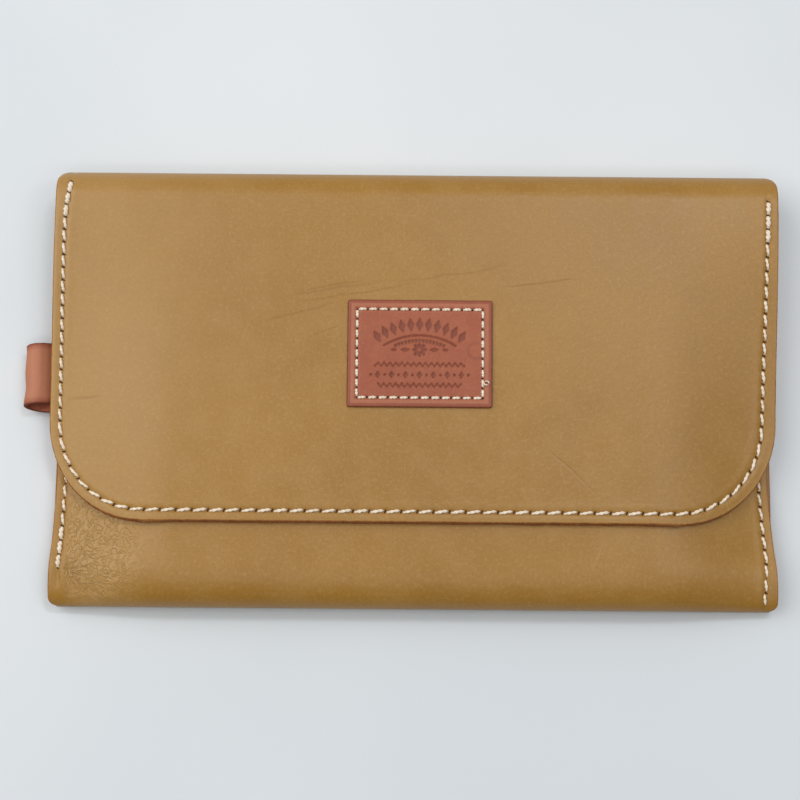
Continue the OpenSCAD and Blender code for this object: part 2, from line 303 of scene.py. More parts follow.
# ---- meshes
def make_piece(name, shape, materials, body=None, replaces=()):
    """A mesh object from a shape in millimetres. A shape has verts, faces, kinds and numbers."""
    mesh = bpy.data.meshes.new(name)
    mesh.from_pydata((shape["verts"] * MM).tolist(), [], shape["faces"])
    for material in materials:
        mesh.materials.append(material)
    kinds = np.asarray(shape["kinds"], np.int32)
    mesh.polygons.foreach_set("material_index", np.clip(kinds, 0, len(materials) - 1))
    mesh.polygons.foreach_set("use_smooth", shape.get("round", np.ones(len(kinds), bool)))
    for key, values in shape["numbers"].items():
        vector = values.ndim == 2
        layer = mesh.attributes.new(key, "FLOAT_VECTOR" if vector else "FLOAT", "POINT")
        layer.data.foreach_set("vector" if vector else "value", values.astype(np.float32).ravel())
    mesh.update()
    piece = bpy.data.objects.new(name, mesh)
    bpy.context.scene.collection.objects.link(piece)
    if body:
        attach(piece, body)
    if replaces:
        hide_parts(*replaces)
    return piece


def plain_shape(verts, faces, kind=0):
    """A shape of one kind, with no numbers."""
    return {"verts": verts, "faces": faces, "kinds": np.full(len(faces), kind), "numbers": {}}


def combine(shapes):
    """Several shapes as one."""
    offset, faces = 0, []
    for shape in shapes:
        faces += [[v + offset for v in face] for face in shape["faces"]]
        offset += len(shape["verts"])
    rounds = [shape.get("round", np.ones(len(shape["faces"]), bool)) for shape in shapes]
    keys = set().union(*(shape["numbers"] for shape in shapes))
    numbers = {}
    for key in sorted(keys):
        like = next(s["numbers"][key] for s in shapes if key in s["numbers"])
        blank = [np.zeros((len(s["verts"]),) + like.shape[1:]) for s in shapes]
        numbers[key] = np.concatenate([s["numbers"].get(key, b) for s, b in zip(shapes, blank)])
    return {"verts": np.concatenate([s["verts"] for s in shapes]), "faces": faces, "numbers": numbers,
            "kinds": np.concatenate([s["kinds"] for s in shapes]), "round": np.concatenate(rounds)}


def row_of(x, y, z):
    """Places across a sheet, at one y and at one z or one for each."""
    return np.stack([x, y + 0 * x, z + 0 * x], 1)


def unit(vectors):
    """The same directions at length one."""
    return vectors / np.maximum(np.linalg.norm(vectors, axis=-1, keepdims=True), 1e-9)


def grid_quads(rows, cols):
    first = (np.arange(rows - 1)[:, None] * cols + np.arange(cols - 1)).ravel()
    return np.stack([first, first + cols, first + cols + 1, first + 1], 1)


def grid_normals(points):
    return unit(np.cross(np.gradient(points, axis=0), np.gradient(points, axis=1)))


def border_path(rows, cols, split):
    """Grid places round the border. A split row is left out, and the path then ends at its corners."""
    left = [(r, 0) for r in range(rows - 1, -1, -1)]
    top = [(0, c) for c in range(1, cols - 1)]
    right = [(r, cols - 1) for r in range(rows)]
    bottom = [(rows - 1, c) for c in range(cols - 2, 0, -1)]
    if split == "last":
        return left + top + right
    if split == "first":
        return right + bottom + left
    return left + top + right + bottom


def cut_section(thickness, flare=0.0):
    """A cut edge's profile as (out, down, flare) steps: rounded above, a little proud half way down."""
    r = min(EDGE_ROUND, 0.4 * thickness)
    return [(0.5 * r, 0.13 * r, 0), (0.87 * r, 0.5 * r, 0), (r, r, 0.1 * flare),
            (1.12 * r, 0.5 * thickness, 0.5 * flare), (r, 0.78 * thickness, 0.85 * flare),
            (0.6 * r, 0.97 * thickness, flare)]


def sheet(face, place, thickness, flare=0.0, split=None, marks=None, rough=0.0, plain_back=False):
    """A sheet of leather below the grid face, with its cut edges. Kinds: 0 face, 1 cut edge, 2 back.

    place is where each point lies on the leather spread flat. A split row meets another sheet, so its
    end is closed flat. The flare leans the edges that look towards -Y outwards. A plain back is one
    face, for where nothing can see it.
    """
    rows, cols = face.shape[:2]
    normal = grid_normals(face)
    r, c = np.array(border_path(rows, cols, split)).T
    count, closed = len(r), split is None
    edge, up = face[r, c], normal[r, c]
    tangent = np.roll(edge, -1, 0) - np.roll(edge, 1, 0) if closed else np.gradient(edge, axis=0)
    out = unit(np.cross(tangent, up))
    out *= -np.sign(np.median(np.sum(out * (face[rows // 2, cols // 2] - edge), axis=1)))
    leaning = np.clip(-out[:, 1:2], 0, 1) ** 2
    verts, spots = [face.reshape(-1, 3)], [place.reshape(-1, 3)]
    rings, total = [r * cols + c], rows * cols
    section = cut_section(thickness, flare)
    for k, (o, d, extra) in enumerate(section):
        fuzz = rough * min(k, 3) / 3 * noise(np.arange(count) * 1.0, np.full(count, 9.0 * k), 1.7, 5, 2)
        verts.append(edge + out * (o + extra * leaning + fuzz[:, None]) - up * d)
        spots.append(place[r, c] + np.array([0, 0, o + d]) + out * [1, 1, 0] * d)
        rings.append(total + np.arange(count))
        total += count
    faces = [grid_quads(rows, cols)]
    kinds = [np.zeros(len(faces[0]), int)]
    extra_faces, extra_kinds = [], []
    if plain_back:
        extra_faces.append(rings[-1][::-1].tolist())
        extra_kinds.append(2)
    else:
        verts.append((face - normal * thickness).reshape(-1, 3))
        spots.append(place.reshape(-1, 3) + [0, 0, thickness + 1])
        faces.append(grid_quads(rows, cols)[:, ::-1] + total)
        kinds.append(np.full(len(faces[-1]), 2))
        rings.append(total + r * cols + c)
    steps = np.arange(count if closed else count - 1)
    after = (steps + 1) % count
    for a, b in zip(rings, rings[1:]):
        faces.append(np.stack([a[steps], a[after], b[after], b[steps]], 1))
        kinds.append(np.ones(len(steps), int))
    flat_faces = 0 if closed else cols + 1
    if not closed:
        row = rows - 1 if split == "last" else 0
        top = row * cols + np.arange(cols)
        under = top + total
        order = [top[1:], top[:-1], under[:-1], under[1:]]
        faces.append(np.stack(order if split == "last" else [order[k] for k in (1, 0, 3, 2)], 1))
        kinds.append(np.ones(cols - 1, int))
        extra_faces += [[ring[0] for ring in rings], [ring[-1] for ring in rings][::-1]]
        extra_kinds += [1, 1]
    all_faces = np.concatenate(faces).tolist() + [[int(v) for v in f] for f in extra_faces]
    kinds = np.concatenate(kinds + [np.array(extra_kinds, int)])
    rounded = np.arange(len(all_faces)) < len(all_faces) - flat_faces
    numbers = {"flat": np.concatenate(spots) * MM}
    for key, values in (marks or {}).items():
        shown = np.concatenate([values.ravel(), np.tile(values[r, c], len(section))])
        numbers[key] = np.zeros(len(numbers["flat"]))
        numbers[key][:len(shown)] = shown
    return {"verts": np.concatenate(verts), "faces": all_faces, "kinds": kinds,
            "numbers": numbers, "round": rounded}


# Where the rows of a mesh lie near a cut edge: fine enough for a stitch line's dents.
EDGE_STEPS = np.array([0, 0.15, 0.35, 0.6, 0.9, 1.25, 1.6, 1.95, 2.3, 2.65, 3.0, 3.35, 3.7,
                       4.1, 4.6, 5.2, 6, 7])


def stations(length, spacing, fine_start=True, fine_end=True):
    """Places from 0 to length: close together by a cut edge, and otherwise at a plain spacing."""
    kept = (EDGE_STEPS < 0.45 * length) & (np.diff(EDGE_STEPS, prepend=0) <= max(spacing, 0.3))
    steps = EDGE_STEPS[kept]
    start = steps if fine_start else np.array([0.0])
    end = length - steps[::-1] if fine_end else np.array([length])
    gap = end[0] - start[-1]
    between = np.linspace(start[-1], end[0], max(2, int(round(gap / spacing)) + 1))[1:-1]
    return np.concatenate([start, between, end])


def squeezed(x, half_left, half_right, full):
    """Columns moved in towards the middle so that the outermost reach the outline."""
    inner = 0.6 * full
    half = np.where(x < 0, half_left, half_right)
    outer = inner + (np.abs(x) - inner) * (half - inner) / (full - inner)
    return np.where(np.abs(x) < inner, x, np.sign(x) * outer)


# ---- materials
def new_material(name):
    material = bpy.data.materials.new(name)
    material.use_nodes = True
    return material, material.node_tree, material.node_tree.nodes["Principled BSDF"]


def add(tree, kind, inputs=None, **settings):
    """A node with its settings and its inputs, which are plain values or another node's outputs."""
    made = tree.nodes.new(kind)
    for key, value in settings.items():
        setattr(made, key, value)
    for key, value in (inputs or {}).items():
        if isinstance(value, bpy.types.NodeSocket):
            tree.links.new(value, made.inputs[key])
        else:
            made.inputs[key].default_value = value
    return made


def colour(r, g, b):
    """A linear colour from the 0 to 255 values that a screen shows."""
    def linear(c):
        c /= 255
        return c / 12.92 if c <= 0.04045 else ((c + 0.055) / 1.055) ** 2.4
    return (linear(r), linear(g), linear(b), 1.0)


def maths(tree, operation, a, b=0.0):
    return add(tree, "ShaderNodeMath", {0: a, 1: b}, operation=operation).outputs[0]


def times(tree, a, b):
    return maths(tree, "MULTIPLY", a, b)


def mix(tree, factor, a, b):
    return add(tree, "ShaderNodeMix", {0: factor, 6: a, 7: b}, data_type="RGBA").outputs[2]


def ramp(tree, value, low, high, result_low=0.0, result_high=1.0):
    return add(tree, "ShaderNodeMapRange", {0: value, 1: low, 2: high, 3: result_low, 4: result_high},
               interpolation_type="SMOOTHSTEP").outputs[0]


def on_leather(tree):
    """The point's place on the leather spread flat, in metres, so that the grain bends with it."""
    return add(tree, "ShaderNodeAttribute", attribute_name="flat").outputs["Vector"]


def on_object(tree):
    return add(tree, "ShaderNodeTexCoord").outputs["Object"]


def mark(tree, name):
    return add(tree, "ShaderNodeAttribute", attribute_name=name).outputs["Fac"]


def bumped(tree, height, strength, distance, under=None):
    """A bump, laid over another one where under gives it."""
    inputs = {"Height": height, "Strength": strength, "Distance": distance}
    if under is not None:
        inputs["Normal"] = under
    return add(tree, "ShaderNodeBump", inputs).outputs[0]


def finish_material(tree, shader, tone, rough, bump=None, **fixed):
    """Join a colour, a roughness and a bump to the shader. fixed gives its other values by name."""
    tree.links.new(tone, shader.inputs["Base Color"])
    if isinstance(rough, bpy.types.NodeSocket):
        tree.links.new(rough, shader.inputs["Roughness"])
    else:
        shader.inputs["Roughness"].default_value = rough
    if bump is not None:
        tree.links.new(bump, shader.inputs["Normal"])
    for name, value in fixed.items():
        shader.inputs[name.replace("_", " ")].default_value = value


def cloud(tree, place, scale, detail=2.0, roughness=0.5, distortion=0.0):
    return add(tree, "ShaderNodeTexNoise", {"Vector": place, "Scale": scale, "Detail": detail,
               "Roughness": roughness, "Distortion": distortion}).outputs["Fac"]


def hairlines(tree, place, angle, scale, stretch, threshold, shift):
    """Fine lines at one angle: noise drawn out along it, of which only the crests are kept."""
    turned = add(tree, "ShaderNodeMapping", {"Vector": place, "Rotation": (0, 0, math.radians(-angle))},
                 vector_type="POINT")
    drawn = add(tree, "ShaderNodeMapping", {"Vector": turned.outputs[0], "Location": (shift, shift * 0.7, 0),
                "Scale": (scale / stretch, scale, scale)})
    return ramp(tree, cloud(tree, drawn.outputs[0], 1.0, 1.5, 0.4, 0.8), threshold, threshold + 0.08)


def crease(tree, place, start, end, width):
    """A wavering hairline crease from start to end, in millimetres, fading at both ends."""
    dx, dy = end[0] - start[0], end[1] - start[1]
    length, angle = math.hypot(dx, dy), math.atan2(dy, dx)
    c, s = math.cos(-angle), math.sin(-angle)
    moved = (-(c * start[0] - s * start[1]) * MM, -(s * start[0] + c * start[1]) * MM, 0)
    turned = add(tree, "ShaderNodeMapping", {"Vector": place, "Location": moved, "Rotation": (0, 0, -angle)})
    axes = add(tree, "ShaderNodeSeparateXYZ", {0: turned.outputs[0]})
    waver = 0.45 * MM
    wander = ramp(tree, cloud(tree, place, 90 + start[0] % 7, 2), 0.2, 0.8, -waver, waver)
    aside = maths(tree, "ABSOLUTE", maths(tree, "ADD", axes.outputs["Y"], wander))
    line = ramp(tree, aside, 0.0, width * MM, 1.0, 0.0)
    fade_in = ramp(tree, axes.outputs["X"], 0.0, 0.3 * length * MM)
    fade_out = ramp(tree, axes.outputs["X"], 0.7 * length * MM, length * MM, 1.0, 0.0)
    return times(tree, line, times(tree, fade_in, fade_out))


def strongest(tree, masks):
    """The highest of several masks at each point."""
    best = masks[0]
    for other in masks[1:]:
        best = maths(tree, "MAXIMUM", best, other)
    return best


def leather_material(name, base, deep, pale, rough=0.5, grain=1.0, scratched=0.0, creases=(),
                     crinkled=False):
    """Smooth waxed leather: soft mottling, fine grain, creases darkened with painted shade, and paler
    scuffs.

    A crinkled leather is finely wrinkled where the mesh's crinkle value says so, along the rays of its fan,
    with painted highlights on the wrinkles' ridges.
    """
    material, tree, shader = new_material(name)
    place = on_leather(tree)
    broad = ramp(tree, cloud(tree, place, 16, 3, 0.55), 0.3, 0.7)
    cloudy = ramp(tree, cloud(tree, place, 95, 4, 0.6), 0.35, 0.7)
    fine = cloud(tree, place, 1500, 3, 0.6)
    tone = mix(tree, times(tree, broad, 0.26), base, deep)
    tone = mix(tree, times(tree, cloudy, 0.14), tone, pale)
    specks = cloud(tree, place, 850, 4, 0.75)
    tone = mix(tree, ramp(tree, fine, 0.40, 0.70, 0.0, 0.26 * grain), tone, deep)
    tone = mix(tree, ramp(tree, specks, 0.48, 0.72, 0.0, 0.30 * grain), tone, pale)
    tone = mix(tree, mark(tree, "dark"), tone, deep)
    tone = mix(tree, mark(tree, "pale"), tone, pale)
    if scratched:
        kinds = ((68, 16, 0.70, 1500), (105, 12, 0.72, 1300), (20, 14, 0.73, 1300))
        lines = strongest(tree, [hairlines(tree, place, angle, scale, stretch, level, 3.7 * k)
                                 for k, (angle, stretch, level, scale) in enumerate(kinds)])
        patchy = ramp(tree, cloud(tree, place, 30, 3), 0.42, 0.66)
        shown = times(tree, times(tree, lines, patchy), scratched)
        tone = mix(tree, shown, tone, pale)
    if creases:
        folds = strongest(tree, [crease(tree, place, *ends) for ends in creases])
        # painted shade darkens the creases
        tone = mix(tree, times(tree, folds, 0.22), tone, deep)
    if crinkled:
        veins = []
        fan = add(tree, "ShaderNodeCombineXYZ", {0: mark(tree, "fan_out"), 1: mark(tree, "fan_round")})
        for scale, over in ((330, fan.outputs[0]), (520, place)):
            middle = maths(tree, "SUBTRACT", cloud(tree, over, scale, 2, 0.5, 0.3), 0.5)
            veins.append(ramp(tree, maths(tree, "ABSOLUTE", middle), 0.0, 0.05, 1.0, 0.0))
        ridges = times(tree, strongest(tree, veins), mark(tree, "crinkle"))
        # painted highlight on the wrinkle ridges
        tone = mix(tree, times(tree, ridges, 0.45), tone, pale)
    cells = add(tree, "ShaderNodeTexVoronoi", {"Vector": place, "Scale": 1150.0}, feature="SMOOTH_F1")
    grit = maths(tree, "ADD", times(tree, cells.outputs["Distance"], 0.5), fine)
    bump = bumped(tree, grit, 0.25 * grain, 0.00006)
    bump = bumped(tree, cloud(tree, place, 420, 4, 0.6), 0.22, 0.0003, bump)
    if creases:
        bump = bumped(tree, times(tree, folds, -1.0), 0.3, 0.0002, bump)
    if crinkled:
        bump = bumped(tree, ridges, 0.85, 0.00022, bump)
    uneven = ramp(tree, cloudy, 0.0, 1.0, rough - 0.02, rough + 0.03)
    finish_material(tree, shader, tone, uneven, bump, Specular_IOR_Level=0.6)
    return material


def cut_edge_material(name, base, deep):
    """The raw fibres of a cut edge: matt, streaked along the layers."""
    material, tree, shader = new_material(name)
    place = on_leather(tree)
    fibres = cloud(tree, place, 2600, 4, 0.7)
    patches = cloud(tree, place, 300, 3)
    tone = mix(tree, ramp(tree, fibres, 0.3, 0.7), base, deep)
    tone = mix(tree, ramp(tree, patches, 0.45, 0.7, 0.0, 0.6), tone, deep)
    finish_material(tree, shader, tone, 0.9, bumped(tree, fibres, 0.8, 0.0003))
    return material


def suede_material(name, base, deep, pale):
    """The napped flesh side of leather."""
    material, tree, shader = new_material(name)
    place = on_leather(tree)
    nap = cloud(tree, place, 1900, 4, 0.7)
    brushed = cloud(tree, place, 120, 4, 0.6)
    tone = mix(tree, ramp(tree, nap, 0.3, 0.7), base, deep)
    tone = mix(tree, ramp(tree, brushed, 0.45, 0.7, 0.0, 0.5), tone, pale)
    finish_material(tree, shader, tone, 0.95, bumped(tree, nap, 0.6, 0.0002), Sheen_Weight=0.3)
    return material


def thread_material(name, base, shade):
    """Waxed cream thread with fine fibres and a little grime."""
    material, tree, shader = new_material(name)
    place = on_object(tree)
    fibres = cloud(tree, place, 5200, 2, 0.6)
    grime = cloud(tree, place, 160, 3, 0.6)
    tone = mix(tree, ramp(tree, fibres, 0.35, 0.75, 0.0, 0.35), base, shade)
    tone = mix(tree, ramp(tree, grime, 0.5, 0.75, 0.0, 0.4), tone, shade)
    finish_material(tree, shader, tone, 0.62, bumped(tree, fibres, 0.4, 0.0001))
    return material


def metal_material(name, base, painted_light_left, rough):
    """Plated metal with faint brushing and dulled patches."""
    material, tree, shader = new_material(name)
    place = on_object(tree)
    drawn = add(tree, "ShaderNodeMapping", {"Vector": place, "Scale": (400, 3500, 3500)})
    brush = cloud(tree, drawn.outputs[0], 1.0, 2)
    patches = cloud(tree, place, 900, 3)
    tone = mix(tree, ramp(tree, patches, 0.4, 0.75), base, painted_light_left)
    uneven = ramp(tree, brush, 0.2, 0.8, rough - 0.08, rough + 0.12)
    finish_material(tree, shader, tone, uneven, bumped(tree, brush, 0.15, 0.00005), Metallic=1.0)
    return material


def tape_material():
    """Woven zip tape: fine ribs in a herringbone."""
    material, tree, shader = new_material("zip_tape_weave")
    place = on_object(tree)
    parts = add(tree, "ShaderNodeSeparateXYZ", {0: place})
    slope = maths(tree, "ADD", parts.outputs["X"], maths(tree, "PINGPONG", parts.outputs["Y"], 0.0009))
    rib = maths(tree, "SINE", times(tree, slope, 2 * math.pi / 0.0006))
    fuzz = cloud(tree, place, 4000, 2)
    tone = mix(tree, ramp(tree, rib, -1, 1), colour(62, 42, 24), colour(104, 76, 48))
    tone = mix(tree, ramp(tree, fuzz, 0.4, 0.7, 0, 0.3), tone, colour(120, 92, 62))
    finish_material(tree, shader, tone, 0.9, bumped(tree, rib, 0.5, 0.0001))
    return material


def speckled_material(name, one, other, scale, rough):
    """A matt surface that wavers softly between two colours."""
    material, tree, shader = new_material(name)
    place = on_object(tree)
    spots = ramp(tree, cloud(tree, place, scale, 3), 0.3, 0.7)
    finish_material(tree, shader, mix(tree, spots, one, other), rough)
    return material


# Hairline creases of the flap: start, end and width in millimetres.
FLAP_CREASES = [((-39, 25), (-4, 31), 0.8), ((-37, 23), (4, 30), 0.6), ((-34, 26.5), (-12, 31), 0.5),
                ((-45, 17), (-20, 24.5), 0.7), ((-6, 29.5), (30, 35), 0.7), ((-31, 13), (-19.5, 18), 0.6),
                ((24, 28), (50, 31.5), 0.6), ((-101, -4.5), (-88, -3.8), 0.8), ((38, -17), (54, -32), 0.6)]

TAN_TONES = (colour(162, 116, 34), colour(130, 87, 22), colour(190, 150, 92))
FLAP_TAN = leather_material("flap_tan_leather", *TAN_TONES, rough=0.43, scratched=0.3, creases=FLAP_CREASES)
TAN = leather_material("tan_leather", *TAN_TONES, rough=0.43, scratched=0.3, crinkled=True)
TAN_EDGE = cut_edge_material("tan_cut_edge", colour(200, 138, 70), colour(130, 76, 30))
FLESH = suede_material("tan_flesh_side", colour(168, 130, 82), colour(134, 98, 54), colour(186, 152, 108))
RUST = leather_material("red_brown_leather", colour(164, 80, 44), colour(108, 40, 20), colour(198, 134, 98),
                        rough=0.6, grain=0.6)
RUST_EDGE = cut_edge_material("red_brown_cut_edge", colour(150, 78, 56), colour(96, 44, 30))
LINING_SKIN = leather_material("lining_leather", colour(158, 120, 70), colour(124, 86, 44),
                               colour(182, 148, 100), rough=0.62, grain=1.2)
LINING_EDGE = cut_edge_material("lining_cut_edge", colour(190, 118, 54), colour(126, 70, 28))
THREAD = thread_material("cream_thread", colour(246, 232, 212), colour(204, 178, 142))
# painted shade inside the stitch holes
HOLE = speckled_material("awl_hole_shade", colour(84, 50, 24), colour(46, 26, 12), 1500, 0.95)
BRASS = metal_material("satin_brass", colour(206, 168, 96), colour(160, 122, 62), 0.32)
NICKEL = metal_material("nickel_plate", colour(176, 178, 182), colour(140, 142, 146), 0.3)
TAPE = tape_material()
TABLE = speckled_material("table_top", colour(226, 229, 231), colour(214, 219, 222), 4, 0.55)


# ---- the outer leather
def cover_shell():
    """Front panel, bottom fold, back and the lower half of the top fold, in one sheet of leather."""
    x = stations(2 * HALF_W, 0.95) - HALF_W
    turn_y, back_y = BOTTOM_Y + FRONT_TURN, BOTTOM_Y + BACK_TURN
    apex = APEX_SHARE * front_height(x, turn_y)
    rows, spots = [], []

    def put(y, z, s):
        half = [body_half_width(np.array(y), side, EDGE_ROUND) for side in (-1, 1)]
        across = squeezed(x, *half, HALF_W)
        rows.append(row_of(across, y, z(across)))
        spots.append(row_of(across, s, 0))

    strip_y = FREE_Y + 4
    upper = MOUTH_Y - EDGE_ROUND - stations(MOUTH_Y - EDGE_ROUND - strip_y, 2.0, fine_end=False)
    lower = np.linspace(strip_y, turn_y, int((strip_y - turn_y) / 0.75))
    for y in np.concatenate([upper, lower[1:]]):
        put(y, lambda a, y=y: front_height(a, y), y)
    s = turn_y
    for angle in np.radians(np.linspace(0, 90, 19)[1:]):
        y = turn_y - FRONT_TURN * math.sin(angle)
        s -= 0.8

        def falling(a, y=y, angle=angle):
            top = front_height(a, turn_y - TURN_AHEAD * (turn_y - y))
            return apex + (top - apex) * math.cos(angle)
        put(y, falling, s)
    for angle in np.radians(np.linspace(0, 90, 13)[1:]):
        s -= 0.8
        put(back_y - BACK_TURN * math.cos(angle), lambda a, angle=angle: apex * (1 - math.sin(angle)), s)
    for y in np.linspace(back_y, FOLD_Y, int((FOLD_Y - back_y) / 2.6))[1:]:
        put(y, lambda a, y=y: back_height(a, y), s - (y - back_y))
    s -= FOLD_Y - back_y
    for angle in np.radians(np.append(np.linspace(0, 89.4, 16)[1:], 90)):
        level = FOLD_R * (1 - math.cos(angle))
        put(FOLD_Y + FOLD_R * math.sin(angle), lambda a, level=level: level, s - FOLD_R * angle)
    face, place = np.array(rows), np.array(spots)
    marks = cover_marks(*np.moveaxis(face, 2, 0))
    return sheet(face, place, LEATHER, split="last", marks=marks, rough=0.10)


def cover_marks(x, y, z):
    """The seams are darker, and the gathers are darkened with painted shade in their creases. Fine wrinkles
    fan out from the pinch, in a patch painted pale as a highlight on the bulge.
    """
    on_front = z > 4
    seam = np.maximum(*(hill(distance_to_line(x, y, line), 0.8) for line in (LEFT_SEAM, RIGHT_SEAM)))
    dx, dy = x - PINCH[0], y - PINCH[1]
    from_patch = np.hypot(dx - 8, 0.8 * (dy - 5))
    crinkle = (1 - smooth((from_patch - 3) / 19)) * smooth(dx / 2) * on_front
    # painted shade in the gathers' creases, and a painted highlight over the wrinkled patch
    dark = 0.3 * seam * on_front + 0.7 * gathers(x, y) * on_front
    return {"dark": dark, "pale": 0.35 * crinkle, "crinkle": crinkle,
            "fan_out": 0.4 * MM * np.hypot(dx, dy), "fan_round": 14 * MM * np.arctan2(dy, dx)}


def back_height(x, y):
    """The back lies on the table, dented along its two seams."""
    return stitch_dents(x, y, LEFT_BACK_SEAM, 0.3) + stitch_dents(x, y, RIGHT_BACK_SEAM, 0.3) + 0.12


def flap_rows(spacing, inset):
    """The flap's rows as (y, angle) over the fold, and as (y, None) from there to its free edge."""
    angles = np.radians(np.concatenate([[90, 90.6], np.linspace(90, 180, 16)[1:]]))
    arc = [(FOLD_Y + FOLD_R * math.sin(a), a) for a in angles]
    flat = FOLD_Y - stations(FOLD_Y - FREE_Y - inset, spacing, fine_start=False)[1:]
    return arc + [(y, None) for y in flat]


def flap_sheet(depth, thickness, spacing, inset, height, flare, rough, marks=None):
    """A layer of the flap whose upper face lies depth below the flap's own, over the fold and down."""
    x = stations(2 * HALF_W, spacing) - HALF_W
    rows, spots = [], []
    radius = FOLD_R - depth
    for y, angle in flap_rows(spacing, inset):
        half = [flap_half_width(np.array(y), side, inset) for side in (-1, 1)]
        across = squeezed(x, *half, HALF_W)
        if angle is None:
            rows.append(row_of(across + lean(y), y, height(across, y) - depth))
            spots.append(row_of(across, y, 0))
        else:
            z = FOLD_R - radius * math.cos(angle) - stitch_dents(across, y, FLAP_HOLES)
            rows.append(row_of(across, FOLD_Y + radius * math.sin(angle), z))
            spots.append(row_of(across, FOLD_Y + FOLD_R * (math.pi - angle), 0))
    face, place = np.array(rows), np.array(spots)
    found = marks(place[..., 0], place[..., 1]) if marks else None
    return sheet(face, place, thickness, flare, split="first", marks=found, rough=rough)


def flap_marks(x, y):
    """The stitch line is a little darker and the free edge a little paler. The left side is paler with
    painted light from the left, and the left rim carries a painted highlight where its rounded edge catches
    the light.
    """
    seam = hill(distance_to_line(x, y, FLAP_HOLES), 0.7)
    # painted light: the left side is lit paler, and the left rim gets a painted highlight
    painted_light_left = 0.30 * smooth((-x - 20) / 90) * smooth((y + 50) / 60)
    rim = flap_half_width(y, -1, 0) + x
    return {"dark": 0.28 * seam, "pale": painted_light_left + 0.12 * hill(y - FREE_Y, 1.0) + 0.5 * hill(rim, 0.5)}


def over_top_fold(piece, upper_half):
    """Bake a piece's transform into its mesh; the upper and the lower half of the top fold are treated
    alike.
    """
    if upper_half:
        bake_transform(piece)
    else:
        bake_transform(piece)


def outer_leather():
    """One hide in two pieces, which meet half way round the top fold."""
    cover = make_piece("cover_leather", cover_shell(), [TAN, TAN_EDGE, FLESH],
                       replaces=["outer_cover"])
    over_top_fold(cover, upper_half=False)
    shape = flap_sheet(0, LEATHER, 0.84, EDGE_ROUND, flap_height, 0.25, 0.10, flap_marks)
    flap = make_piece("flap_leather_face", shape, [FLAP_TAN, TAN_EDGE, FLESH],
                      replaces=["flap_leather", "fold_leather"])
    over_top_fold(flap, upper_half=True)


# ---- linings
def lined(name, shape, nodes, back, body=None):
    """A piece of lining leather: its face, its cut edges and its back."""
    return make_piece(name, shape, [LINING_SKIN, LINING_EDGE, back], body, nodes)


def back_lining():
    """The lining that faces up inside the body, from the bottom fold to half way round the top fold."""
    x = stations(2 * HALF_W, 2.4) - HALF_W
    radius = FOLD_R - LEATHER - LINING
    low_y = BOTTOM_Y + 9
    rows = [(FOLD_Y + radius * math.sin(a), FOLD_R - radius * math.cos(a))
            for a in np.radians(np.append(90, np.linspace(89.4, 0, 14)))]
    rows += [(y, FOLD_R - radius) for y in np.linspace(FOLD_Y, low_y, 40)[1:]]
    face, place = [], []
    for y, z in rows:
        outer_y = FOLD_Y + (y - FOLD_Y) * FOLD_R / radius if y > FOLD_Y else y
        half = [body_half_width(np.array(outer_y), side, 0.3) for side in (-1, 1)]
        across = squeezed(x, *half, HALF_W)
        face.append(row_of(across, y, z))
        place.append(row_of(across, y + 0.7 * z, 0))
    shape = sheet(np.array(face), np.array(place), LINING, split="first", rough=0.08)
    over_top_fold(lined("back_lining_skin", shape, ["back_lining"], LINING_SKIN), upper_half=False)


def flap_lining():
    shape = flap_sheet(LEATHER, LINING, 1.7, 0.1, flap_plain, 0.25, 0.16)
    nodes = ["flap_lining", "fold_lining"]
    over_top_fold(lined("flap_lining_skin", shape, nodes, LINING_SKIN), upper_half=True)


# ---- stitches
STITCH_STEPS, STITCH_SIDES = 12, 7  # rings along a ply, and faces round it
STITCH_TWISTS = 1.3                 # turns of the two plies along one stitch


def on_surface(height, x, y, up=1):
    """Points on a height's surface, and the unit normals there, turned to the side that up says."""
    step = 0.05
    slope_x = (height(x + step, y) - height(x - step, y)) / (2 * step)
    slope_y = (height(x, y + step) - height(x, y - step)) / (2 * step)
    return row_of(x, y, height(x, y)), up * unit(np.stack([-slope_x, -slope_y, np.ones(len(x))], 1))


def tube(path, side, up, radius, sides):
    """A round tube along a path, closed at both ends."""
    turn = 2 * math.pi * np.arange(sides) / sides
    ring = np.cos(turn)[:, None] * side + np.sin(turn)[:, None] * up
    verts = (path[:, None] + np.reshape(radius, (-1, 1, 1)) * ring[None]).reshape(-1, 3)
    spots = np.arange(len(verts)).reshape(-1, sides)
    after = np.roll(spots, -1, axis=1)
    quads = np.stack([spots[:-1], after[:-1], after[1:], spots[1:]], 2).reshape(-1, 4).tolist()
    return verts, quads + [spots[0, ::-1].tolist(), spots[-1].tolist()]


def stitch(start, end, up, radius, lift):
    """One stitch: two plies of thread twisted together, diving into the leather at both ends."""
    along = end - start
    forward = unit(along)
    up = unit(up - forward * (up @ forward))
    side = np.cross(forward, up)
    t = np.linspace(-0.04, 1.04, STITCH_STEPS)[:, None]
    rise = lift - (radius + 0.3) * np.abs(2 * t - 1) ** 4
    girth = radius * (1.06 - 0.42 * np.abs(2 * t - 1) ** 2.5)
    centre = start + along * t + up * rise
    verts, faces = [], []
    for ply in (0, math.pi):
        turn = ply + 2 * math.pi * STITCH_TWISTS * t
        path = centre + 0.36 * girth * (np.cos(turn) * side + 0.8 * np.sin(turn) * up)
        points, quads = tube(path, side, up, 0.66 * girth, STITCH_SIDES)
        faces += [[v + sum(map(len, verts)) for v in face] for face in quads]
        verts.append(points)
    return plain_shape(np.concatenate(verts), faces)


